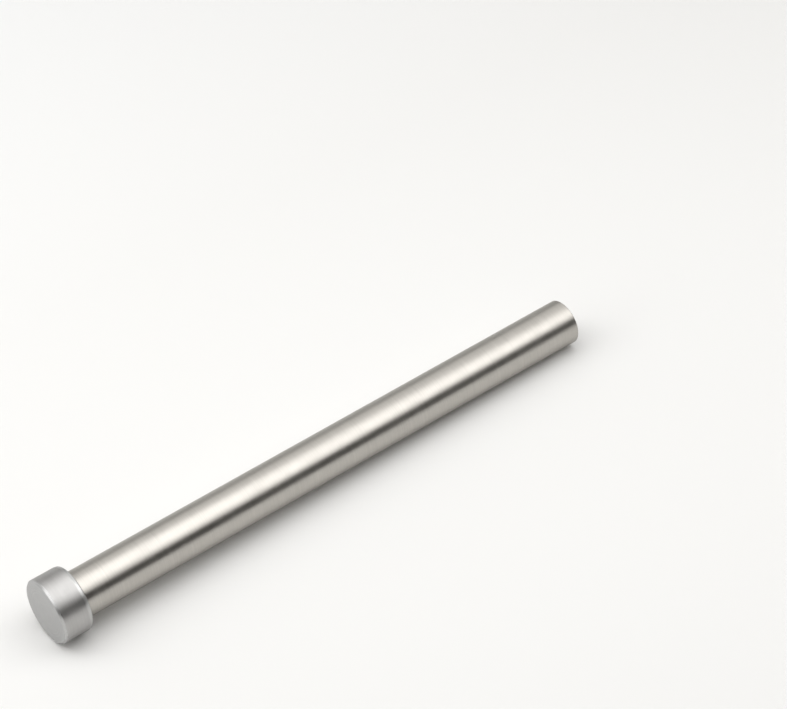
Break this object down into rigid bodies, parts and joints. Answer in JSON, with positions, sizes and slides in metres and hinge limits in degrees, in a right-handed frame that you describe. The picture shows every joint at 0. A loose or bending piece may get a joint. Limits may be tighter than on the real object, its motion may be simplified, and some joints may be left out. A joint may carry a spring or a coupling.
{
  "type": "ejector pin",
  "caption": "Straight ejector pin: a long ground cylindrical shank with a flat tip and a short cylindrical head with bevelled rims, turned as one piece of steel.",
  "frame": {"origin": "centre of the outer face of the head, which the pin stands on", "axes": "+Z along the pin's axis, from the head to the tip; X and Y are any two directions across it"},
  "size_m": [0.017, 0.017, 0.16],
  "materials": {
    "ground_steel": "ground shank with fine marks round it; head turned and duller"
  },
  "bodies": {
    "root": {"ejector_pin": "ground_steel"}
  },
  "joints": []
}
